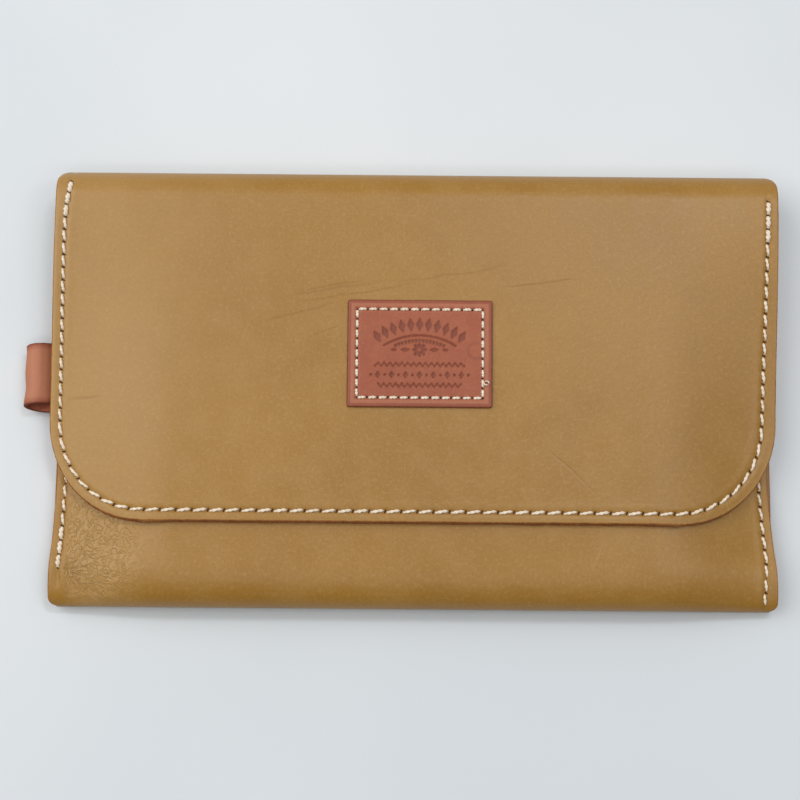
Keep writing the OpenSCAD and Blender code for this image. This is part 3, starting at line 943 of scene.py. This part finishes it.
def pit(centre, along, across, up, long, wide):
    """The slit that a stitch dives into: a thin lens, a little sunk at its middle, dark with painted shade.
    """
    turn = 2 * math.pi * np.arange(10) / 10
    ring = centre + 0.5 * long * np.cos(turn)[:, None] * across + 0.5 * wide * np.sin(turn)[:, None] * along
    verts = np.concatenate([ring + 0.04 * up, [centre + 0.02 * up, centre - 0.35 * up]])
    around = [(k, (k + 1) % 10) for k in range(10)]
    faces = [[a, b, 10] for a, b in around] + [[b, a, 11] for a, b in around]
    return plain_shape(verts, faces, kind=1)


def stitch_run(holes, height, up=1, radius=0.46, lift=0.06, slant=0.36, thick=(), slit=(1.9, 0.44),
               aside=0.0):
    """A run of stitches from hole to hole over a surface. Thick ones are sewn twice, at a run's ends.

    Each one lies at a slant to the line of holes. A slit has its length and width, and lies aside.
    """
    points, normals = on_surface(height, holes[:, 0], holes[:, 1], up)
    shapes = []
    count = len(holes) - 1
    for k in range(count):
        a, b = points[k], points[k + 1]
        normal = unit(normals[k] + normals[k + 1])
        double = k in thick or k - count in thick
        aslant = np.cross(normal, unit(b - a)) * (0.05 if double else slant)
        size = radius * (1.6 if double else 1 + 0.07 * math.sin(5.1 * k))
        rise = lift + (0.12 if double else 0.05 * math.sin(3.3 * k))
        gap = (0.02 if double else 0.085) * (b - a)
        shapes.append(stitch(a + gap - aslant, b - gap + aslant, normal, size, rise))
    for k in range(count + 1):
        forward = unit(points[min(k + 1, count)] - points[max(k - 1, 0)])
        across = np.cross(normals[k], forward)
        cut = unit(across + 0.45 * forward)
        centre = points[k] - across * aside - 0.28 * normals[k]
        shapes.append(pit(centre, np.cross(cut, normals[k]), cut, normals[k], *slit))
    return combine(shapes)


def stitched(name, run, node=None, body=None):
    """A piece of thread and of the slits that it dives into."""
    return make_piece(name, run, [THREAD, HOLE], body, [node] if node else ())


def leaned(shape):
    """A shape moved aside with the shut flap that carries it."""
    shape["verts"][:, 0] += lean(shape["verts"][:, 1])
    return shape


def flap_stitching():
    """The flap's stitches, outside and inside. The sewn-twice ones at its ends show outside only."""
    run = leaned(stitch_run(FLAP_HOLES, flap_plain, thick=(0, 1, 2, -1, -2, -3)))
    over_top_fold(stitched("flap_stitches", run, "flap_stitching"), upper_half=True)

    def underside(x, y):
        return flap_plain(x, y) - LEATHER - LINING

    run = leaned(stitch_run(FLAP_HOLES[3:-3], underside, up=-1, lift=0.12, slant=-0.3, radius=0.42))
    over_top_fold(stitched("flap_stitches_inside", run), upper_half=True)


def seam_stitching():
    """Each side seam: down the front, on up beside the pockets, and along the back."""
    small = (1.0, 0.4)

    def beside_pockets(x, y):
        return COIN_FRONT[1] + COIN_T + 0 * x

    def in_the_back(x, y):
        return 0.42 + 0 * x

    for name, side, front, back, ends in (("left", -1, LEFT_SEAM, LEFT_BACK_SEAM, (0, 1, 2)),
                                          ("right", 1, RIGHT_SEAM, RIGHT_BACK_SEAM, ())):
        above = seam_stitch_line(side, MOUTH_Y + 1, FOLD_Y - 3.5)
        runs = [stitch_run(front, front_skin, thick=ends, radius=0.44),
                stitch_run(above, beside_pockets, radius=0.42, slit=small),
                stitch_run(back, in_the_back, up=-1, lift=0.0, radius=0.34, slit=small)]
        stitched(name + "_seam_stitches", combine(runs), name + "_seam_stitching", "body")


# ---- label
LABEL_LOW, LABEL_HIGH = box_mm("label_patch")
LABEL_MID = (LABEL_LOW + LABEL_HIGH) / 2
LABEL_HALF = (LABEL_HIGH - LABEL_LOW)[:2] / 2
LABEL_T = 1.0
LABEL_STITCH_IN = 2.9
LABEL_PITCH = 3.0
LABEL_CORNER = 0.8


def lozenge(x, y, half_x, half_y):
    """1 inside a lozenge about the origin, with a soft edge."""
    return 1 - smooth((np.abs(x) / half_x + np.abs(y) / half_y - 0.85) / 0.3)


def bar(distance, width):
    """1 on a line of some width, with soft edges."""
    return 1 - smooth((np.abs(distance) - width / 2) / 0.16)


def ornament(x, y):
    """A pressed pattern: an arch of lozenges over a flower, above rows of zigzag and beading."""
    reach, angle = np.hypot(x, y + 14.0), np.arctan2(x, y + 14.0)
    step = math.radians(6.6)
    nearest = np.clip(np.round(angle / step), -5, 5) * step
    pressed = lozenge((angle - nearest) * reach, reach - 22.4, 1.05, 2.1)
    pressed = np.maximum(pressed, bar(reach - 19.2, 0.4) * (np.abs(angle) < math.radians(33)))
    bead = np.clip(np.round(angle / (step / 2)), -7, 7) * step / 2
    pressed = np.maximum(pressed, 1 - smooth((np.hypot((angle - bead) * reach, reach - 17.6) - 0.35) / 0.3))
    r, turn = np.hypot(x, y - 1.0), np.arctan2(y - 1.0, x)
    petals = 1.05 + 0.95 * np.abs(np.cos(4 * turn))
    flower = (1 - smooth((r - petals) / 0.25)) * smooth((r - 0.45) / 0.2)
    pressed = np.maximum(pressed, flower)
    for side in (-1, 1):
        pressed = np.maximum(pressed, lozenge(x - side * 4.2, y - 1.0, 1.6, 0.6))
        pressed = np.maximum(pressed, lozenge(x - side * 7.4, y - 1.0, 1.1, 0.45))
    for row, half in ((-3.3, 13), (-9.3, 12)):
        zigzag = 0.55 * (2 * np.abs((x / 1.7) % 1 * 2 - 1) - 1)
        pressed = np.maximum(pressed, bar(y - row - zigzag, 0.42) * (np.abs(x) < half))
    place = np.round(x / 2.0)
    along, aside = x - place * 2.0, y + 6.3
    beads = np.where(place % 2 == 0, lozenge(along, aside, 0.8, 1.1), lozenge(along, aside, 0.45, 0.45))
    return np.maximum(pressed, beads * (np.abs(x) < 14.5))


def label_line():
    """The label's holes, all round it, from its lower right corner."""
    hx, hy = LABEL_HALF - LABEL_STITCH_IN
    across, up = round(2 * hx / LABEL_PITCH), round(2 * hy / LABEL_PITCH)
    x, y = np.linspace(-hx, hx, across + 1), np.linspace(-hy, hy, up + 1)
    lower = np.stack([x[::-1], np.full(across + 1, -hy)], 1)
    left = np.stack([np.full(up + 1, -hx), y], 1)
    return np.concatenate([lower, left[1:], -lower[1:], -left[1:]])


def label_face(x, y):
    """The label's height above the flap, and how dark and how pale each place is."""
    edge = np.minimum(LABEL_HALF[0] - np.abs(x), LABEL_HALF[1] - np.abs(y))
    line = distance_to_line(x, y, label_line())
    pits = distance_to_points(x, y, label_line())
    pressed = ornament(x, y)
    inner = smooth((edge - LABEL_STITCH_IN - 0.3) / 0.8)
    height = LABEL_T - 0.30 * hill(edge, 0.5) - 0.10 * hill(edge - 1.0, 0.22) + 0.05 * (1 - inner)
    height = height - 0.22 * hill(line, 0.55) - 0.25 * hill(pits, 0.5) - 0.38 * pressed
    height = height + 0.05 * noise(x, y, 7, 41, 2) + 0.015 * noise(x, y, 0.9, 43)
    ring = hill(np.hypot(x - 16.2, y - 0.9) - 2.3, 0.5)
    # the pressed marks are darker, with painted shade added on their sloping outlines
    dark = 0.68 * pressed + 1.0 * pressed * (1 - pressed)
    dark = dark + 0.42 * hill(edge, 0.7) + 0.30 * hill(edge - 1.0, 0.25) + 0.28 * hill(line, 0.5)
    dark = dark + 0.28 * ring + 0.14 * smooth(noise(x, y, 9, 45, 2))
    dark = dark + 0.12 * smooth(noise(x, y, 2.4, 47, 2))
    rubbed = (1 - inner) * smooth((edge - 0.9) / 0.5) * (1 - hill(line, 0.6))
    # the pale marks paint a highlight on the pressed marks' outlines, and the rubbed outer band is paler
    return height, np.clip(dark, 0, 0.9), 1.6 * pressed * (1 - pressed) + 0.30 * rubbed


def label():
    """The pressed label on the flap, its stitches, and the loose end of their thread."""
    low = -LABEL_HALF + EDGE_ROUND
    x, y = (np.linspace(side, -side, int(-2 * side / 0.2)) for side in low)
    y = y[::-1]
    grid_x, grid_y = np.meshgrid(x, y)
    cut = corner_cut((np.abs(grid_y) + low[1] + LABEL_CORNER) / LABEL_CORNER * 0.98, LABEL_CORNER)
    grid_x -= np.sign(grid_x) * cut * smooth((np.abs(grid_x) + low[0] + 6) / 6)
    height, dark, pale = label_face(grid_x, grid_y)
    true_x, true_y = grid_x + LABEL_MID[0], grid_y + LABEL_MID[1]
    face = np.stack([true_x, true_y, flap_at(true_x, true_y) + height], 2)
    place = np.stack([grid_x, grid_y, 0 * grid_x], 2)
    shape = sheet(face, place, LABEL_T + 0.1, marks={"dark": dark, "pale": pale}, rough=0.05,
                  plain_back=True)
    make_piece("label_leather", shape, [RUST, RUST_EDGE], body="flap",
               replaces=["label_patch"])

    def over_label(a, b):
        return flap_at(a, b) + LABEL_T

    holes = label_line() + LABEL_MID[:2]
    stitches = stitch_run(holes, over_label, radius=0.43, slant=0.08, slit=(0.85, 0.7), aside=0.25)
    end_x = LABEL_MID[0] + LABEL_HALF[0] - LABEL_STITCH_IN + 1.0
    end_y = LABEL_MID[1] - LABEL_HALF[1] + 7.2
    turn = np.radians(np.linspace(150, 500, 16))
    loop = np.stack([end_x + 0.75 * np.cos(turn), end_y + 0.6 * np.sin(turn),
                     FLAP_TOP + LABEL_T + 0.2 + 0.25 * np.sin(turn / 2)], 1)
    points, faces = tube(loop, np.array([0.6, 0.8, 0]), np.array([0, 0, 1.0]), 0.2, 6)
    stitched("label_stitches", combine([stitches, plain_shape(points, faces)]), "label_stitching", "flap")


# ---- strap loop
def strap_loop():
    """A short strap folded round a small eye, its two ends sewn into the left seam, a little askew."""
    low, high = box_mm("strap_loop")
    thickness, eye_outer, askew, seam_z = 1.1, 3.55, 2.4, 4.4
    centre = np.array([low[0] + 3.7, seam_z])
    mouth = np.array([-HALF_W + 0.4, seam_z + 0.05])
    reach = np.hypot(*(mouth - centre))
    meet = math.degrees(math.acos(eye_outer / reach))
    turn = np.radians(np.linspace(meet, 360 - meet, 40))
    arc = centre + eye_outer * np.stack([np.cos(turn), np.sin(turn)], 1)
    gap = np.array([0, 0.45])
    inner = mouth + [3.5, 0]
    path = np.concatenate([[inner + gap, mouth + gap], arc, [mouth - gap, inner - gap]])
    path = evenly(path, 0.45)
    along = np.linspace(0, 1, len(path))
    y = high[1] - EDGE_ROUND - stations(high[1] - low[1] - 2 * EDGE_ROUND, 0.8)
    face = np.empty((len(path), len(y), 3))
    face[..., 0] = path[:, :1] + 0.25 * noise(y[None] * 1.0, along[:, None] * 9, 5, 61)
    face[..., 1] = y[None] - askew * smooth((along[:, None] - 0.2) / 0.7) + askew * 0.25
    face[..., 2] = path[:, 1:]
    place = np.stack([np.broadcast_to(along[:, None] * 30, face.shape[:2]), face[..., 1],
                      np.zeros(face.shape[:2])], 2)
    edge = np.minimum(y - y.min(), y.max() - y)[None] + 0 * face[..., 0]
    marks = {"dark": 0.35 * hill(edge, 0.5) + 0.2 * hill(edge - 1.3, 0.25), "pale": 0.55 * smooth(edge / 2)}
    shape = sheet(face, place, thickness, marks=marks, rough=0.06)
    make_piece("strap_loop_leather", shape, [RUST, RUST_EDGE, RUST], body="body",
               replaces=["strap_loop"])


# ---- inside
INSIDE_FLAT = 90.0                  # the inner sheets stay flat out to here, then drop to the seams
COIN_T = 0.8
COIN_REAR = (2.75, 2.65)            # undersides: in the middle, and at the seams
COIN_FRONT = (5.6, 3.5)
COIN_ENDS = (-52, 53)               # where the coin pocket's sheets end, below and above
COIN_CREASE_Y = 41.8                # a creased line runs along here
ZIP_LOW, ZIP_HIGH = box_mm("zipper_tape_lower")[1][1], box_mm("zipper_tape_upper")[0][1]
ZIP_Y = (ZIP_LOW + ZIP_HIGH) / 2
WINDOW_HALF = np.array([88.0, 3.5])


def inside_slack(x, y):
    """The inner sheets share one gentle unevenness, so that they never cross."""
    away = smooth((88 - np.abs(x)) / 25) * smooth((38 - y) / 12) * smooth((y + 52) / 12)
    return 0.14 * (1 + noise(x, y, 26, 21, 2)) * away


def inner_height(x, y, levels):
    drop = smooth((np.abs(x) - INSIDE_FLAT) / (HALF_W - INSIDE_FLAT))
    return levels[0] + (levels[1] - levels[0]) * drop + inside_slack(x, y)


def panel(low, high, height, thickness, spacing=2.4, corner=0.0, marks=None, fine=(True, True, True, True)):
    """A flat panel between two corners, seen from above. fine says which edges are cut: -X, +X, +Y, -Y."""
    low = np.array(low, float) + [EDGE_ROUND * fine[0], EDGE_ROUND * fine[3]]
    high = np.array(high, float) - [EDGE_ROUND * fine[1], EDGE_ROUND * fine[2]]
    x = low[0] + stations(high[0] - low[0], spacing, fine[0], fine[1])
    y = high[1] - stations(high[1] - low[1], spacing, fine[2], fine[3])
    grid_x, grid_y = np.meshgrid(x, y)
    if corner:
        middle, half = (low + high) / 2, (high - low) / 2
        cut = corner_cut((np.abs(grid_y - middle[1]) - half[1] + corner) / corner * 0.99, corner)
        grid_x = middle[0] + (grid_x - middle[0]) * (1 - cut / half[0])
    face = np.stack([grid_x, grid_y, height(grid_x, grid_y) + thickness], 2)
    place = np.stack([grid_x, grid_y, 0 * grid_x], 2)
    found = {"dark": marks(grid_x, grid_y)} if marks else None
    return sheet(face, place, thickness, marks=found, rough=0.05)


def coin_pocket():
    """Two sheets, sewn together below and at the sides. The front one has a window for the zip."""
    def rear(x, y):
        return inner_height(x, y, COIN_REAR)

    def front(x, y):
        return inner_height(x, y, COIN_FRONT)

    # painted shade darkens the creased line
    def creased(x, y):
        return 0.3 * hill(y - COIN_CREASE_Y, 0.3)

    wide, (hx, hy) = HALF_W - 0.3, WINDOW_HALF
    low_y, high_y = COIN_ENDS
    under, over = ZIP_Y - hy, ZIP_Y + hy
    beside = (True, True, False, False)
    shape = panel((-wide, low_y), (wide, high_y), rear, COIN_T)
    lined("coin_pocket_rear_panel", shape, ["coin_pocket_rear"], FLESH, "body")
    parts = [panel((-wide, low_y), (wide, under), front, COIN_T, marks=creased),
             panel((-wide, over), (wide, high_y), front, COIN_T)]
    for left, right in ((-wide, -hx), (hx, wide)):
        low, high = (left, under - EDGE_ROUND), (right, over + EDGE_ROUND)
        parts.append(panel(low, high, front, COIN_T, fine=beside))
    lined("coin_pocket_front_panel", combine(parts), ["coin_pocket_front"], FLESH, "body")


def card_pockets():
    """Three rows of pockets, each with a creased line under its mouth, darkened with painted shade."""
    for row in ("top", "middle", "bottom"):
        low, high = box_mm("card_pocket_" + row)

        def lies(x, y, low=low):
            return low[2] + inside_slack(x, y)

        # painted shade darkens the crease under the mouth, and the mouth's edge a little
        def creased(x, y, high=high):
            return 0.5 * hill(high[1] - 1.9 - y, 0.22) + 0.15 * hill(high[1] - y, 0.5)

        shape = panel(low[:2], high[:2], lies, high[2] - low[2], corner=2.0, marks=creased)
        lined("card_pocket_%s_panel" % row, shape, ["card_pocket_" + row], FLESH, "body")


def inner_stitching():
    """The line between the card columns, the coin pocket's bottom, and all round the zip's window."""
    tops = [box_mm("card_pocket_" + row)[1] for row in ("bottom", "middle", "top")]

    def pockets(x, y):
        level = np.where(y < tops[0][1], tops[0][2], np.where(y < tops[1][1], tops[1][2], tops[2][2]))
        return level + inside_slack(x, y)

    low_y = box_mm("card_pocket_bottom")[0][1]
    fine = {"slant": 0.12, "slit": (0.8, 0.3)}
    divider = evenly([[0, tops[2][1] - 1.2], [0, low_y + 1.5]], 3.0)
    run = stitch_run(divider, pockets, radius=0.3, lift=0.12, **fine)
    stitched("card_divider_stitches", run, "card_divider_stitching", "body")

    def front(x, y):
        return inner_height(x, y, COIN_FRONT) + COIN_T

    bottom = evenly([[-97, -50], [97, -50]], 3.4)
    run = stitch_run(bottom, front, radius=0.32, lift=0.1, **fine)
    stitched("coin_pocket_stitches", run, "coin_pocket_stitching", "body")
    hx, hy = WINDOW_HALF + [1.4, 1.3]
    frame_line = np.array([[-hx, ZIP_Y - hy], [hx, ZIP_Y - hy], [hx, ZIP_Y + hy], [-hx, ZIP_Y + hy]])
    runs = []
    for a, b in zip(frame_line, np.roll(frame_line, -1, 0)):
        line = evenly([a, b], 2.9)
        runs.append(stitch_run(line, front, radius=0.26, lift=0.08, slant=0.08, slit=(0.6, 0.25)))
    stitched("zipper_stitches", combine(runs), "zipper_stitching", "body")


def zip_tapes():
    """Woven tapes, thicker along the beaded edge that the teeth grip."""
    for row, inner in (("lower", 1), ("upper", -1)):
        low, high = box_mm("zipper_tape_" + row)
        bead = high[1] if inner == 1 else low[1]

        def height(x, y, bead=bead, low=low):
            return low[2] - 0.04 + 0.04 * noise(x, y, 5, 31) + 0.10 * hill(y - bead, 0.5)

        shape = panel(low[:2], high[:2], height, high[2] - low[2] - 0.1, spacing=1.2)
        make_piece("zipper_tape_%s_weave" % row, shape, [TAPE], body="body",
                   replaces=["zipper_tape_" + row])


def magnet_cover():
    """A thin leather disc glued over the magnet, domed where the magnet is."""
    low, high = box_mm("front_magnet_cover")
    middle, radius = (low + high) / 2, (high[0] - low[0]) / 2
    rings = np.array([0.02, 1.5, 3, 4.5, 5.4, 6.0, 6.6, 7.4, 8.4, 9.2, 9.6, 9.85, 10]) * radius / 10
    depth = 0.75 * (1 - smooth((rings - 0.5 * radius) / (0.2 * radius))) + 0.35
    sides = 48
    turn = 2 * math.pi * np.arange(sides + 1) / sides
    face = np.stack([middle[0] + rings[:, None] * np.cos(turn), middle[1] + rings[:, None] * np.sin(turn),
                     high[2] + 0 * rings[:, None] - depth[:, None] + 0 * turn], 2)
    verts = np.concatenate([face[:, :-1].reshape(-1, 3),
                            face[-1, :-1] + [0, 0, depth[-1]], [[middle[0], middle[1], high[2]]]])
    faces = []
    for k in range(len(rings)):
        for j in range(sides):
            a, b = k * sides + j, k * sides + (j + 1) % sides
            faces.append([b, a, a + sides, b + sides])
    rim = len(rings) * sides
    faces += [[rim + sides, rim + (j + 1) % sides, rim + j] for j in range(sides)]
    faces.append(list(range(sides)))
    shape = plain_shape(verts, faces) | {"numbers": {"flat": verts * MM}}
    make_piece("magnet_cover_leather", shape, [LINING_SKIN], body="body",
               replaces=["front_magnet_cover"])


def metal_parts():
    """The CAD's own metal parts, in plated metal."""
    finishes = {"zipper_teeth_upper": BRASS, "zipper_teeth_lower": BRASS, "zipper_end_stops": BRASS,
                "zipper_slider": BRASS, "zipper_pull": BRASS, "front_magnet": NICKEL, "flap_magnet": NICKEL}
    for node, finish in finishes.items():
        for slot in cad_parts[node].material_slots:
            slot.material = finish


outer_leather()
back_lining()
flap_lining()
flap_stitching()
seam_stitching()
label()
strap_loop()
coin_pocket()
card_pockets()
inner_stitching()
zip_tapes()
magnet_cover()
metal_parts()


# ---- camera, lights and table
TABLE_HALF = 1.5                    # metres


def aim(obj, target, roll=0.0):
    direction = Vector(target) - obj.location
    obj.rotation_euler = direction.to_track_quat("-Z", "Y").to_euler()
    obj.rotation_euler.rotate_axis("Z", roll)


def area_light(name, place, target, size, power, tint):
    light = bpy.data.lights.new(name, "AREA")
    light.shape = "RECTANGLE"
    light.size, light.size_y = size
    light.energy = power
    light.color = tint
    lamp = bpy.data.objects.new(name, light)
    lamp.location = place
    bpy.context.scene.collection.objects.link(lamp)
    aim(lamp, target)


def studio():
    """A plain pale table, a big soft light on the left, smaller ones above, and a room that fades."""
    table = bpy.data.meshes.new("table")
    corners = [(-1, -1), (1, -1), (1, 1), (-1, 1)]
    table.from_pydata([(TABLE_HALF * x, TABLE_HALF * y, 0) for x, y in corners], [], [(0, 1, 2, 3)])
    table.materials.append(TABLE)
    floor = bpy.data.objects.new("table", table)
    bpy.context.scene.collection.objects.link(floor)
    area_light("key", (-0.62, 0.20, 0.74), (0, 0, 0), (0.9, 0.9), 5.3, (1.0, 0.985, 0.96))
    area_light("window", (0.27, 0.37, 1.0), (0.05, 0.02, 0), (0.26, 0.08), 2.1, (0.97, 0.98, 1.0))
    area_light("doorway", (0.58, 0.0, 1.0), (0.05, 0, 0), (0.12, 0.26), 1.0, (0.97, 0.98, 1.0))
    area_light("fill", (0.05, -0.42, 0.95), (0, -0.04, 0), (0.9, 0.16), 1.3, (1.0, 0.99, 0.98))
    world = bpy.data.worlds.new("room")
    world.use_nodes = True
    tree = world.node_tree
    direction = add(tree, "ShaderNodeSeparateXYZ", {0: add(tree, "ShaderNodeTexCoord").outputs["Generated"]})
    sky = tree.nodes["Background"]
    sky.inputs["Color"].default_value = (0.93, 0.97, 1.0, 1)
    ahead = times(tree, direction.outputs["Y"], 0.6)
    overhead = times(tree, direction.outputs["Z"], 0.8)
    brightness = ramp(tree, maths(tree, "ADD", ahead, overhead), -0.35, 0.9, 0.12, 0.47)
    tree.links.new(brightness, sky.inputs["Strength"])
    bpy.context.scene.world = world
    bpy.context.scene.view_settings.view_transform = "Standard"


def camera():
    """Nearly overhead, a little from the front. The field is the width that it shows at its target."""
    distance, field, tilt, roll = 0.45, 0.2292, math.radians(8), math.radians(0.5)
    target = Vector((-0.0040, -0.0046, FLAP_TOP * MM))
    lens = bpy.data.cameras.new("camera")
    lens.sensor_width = 36
    lens.lens = 36 * distance / field
    eye = bpy.data.objects.new("camera", lens)
    eye.location = target + distance * Vector((0, -math.sin(tilt), math.cos(tilt)))
    bpy.context.scene.collection.objects.link(eye)
    aim(eye, target, roll)
    bpy.context.scene.camera = eye


studio()
camera()
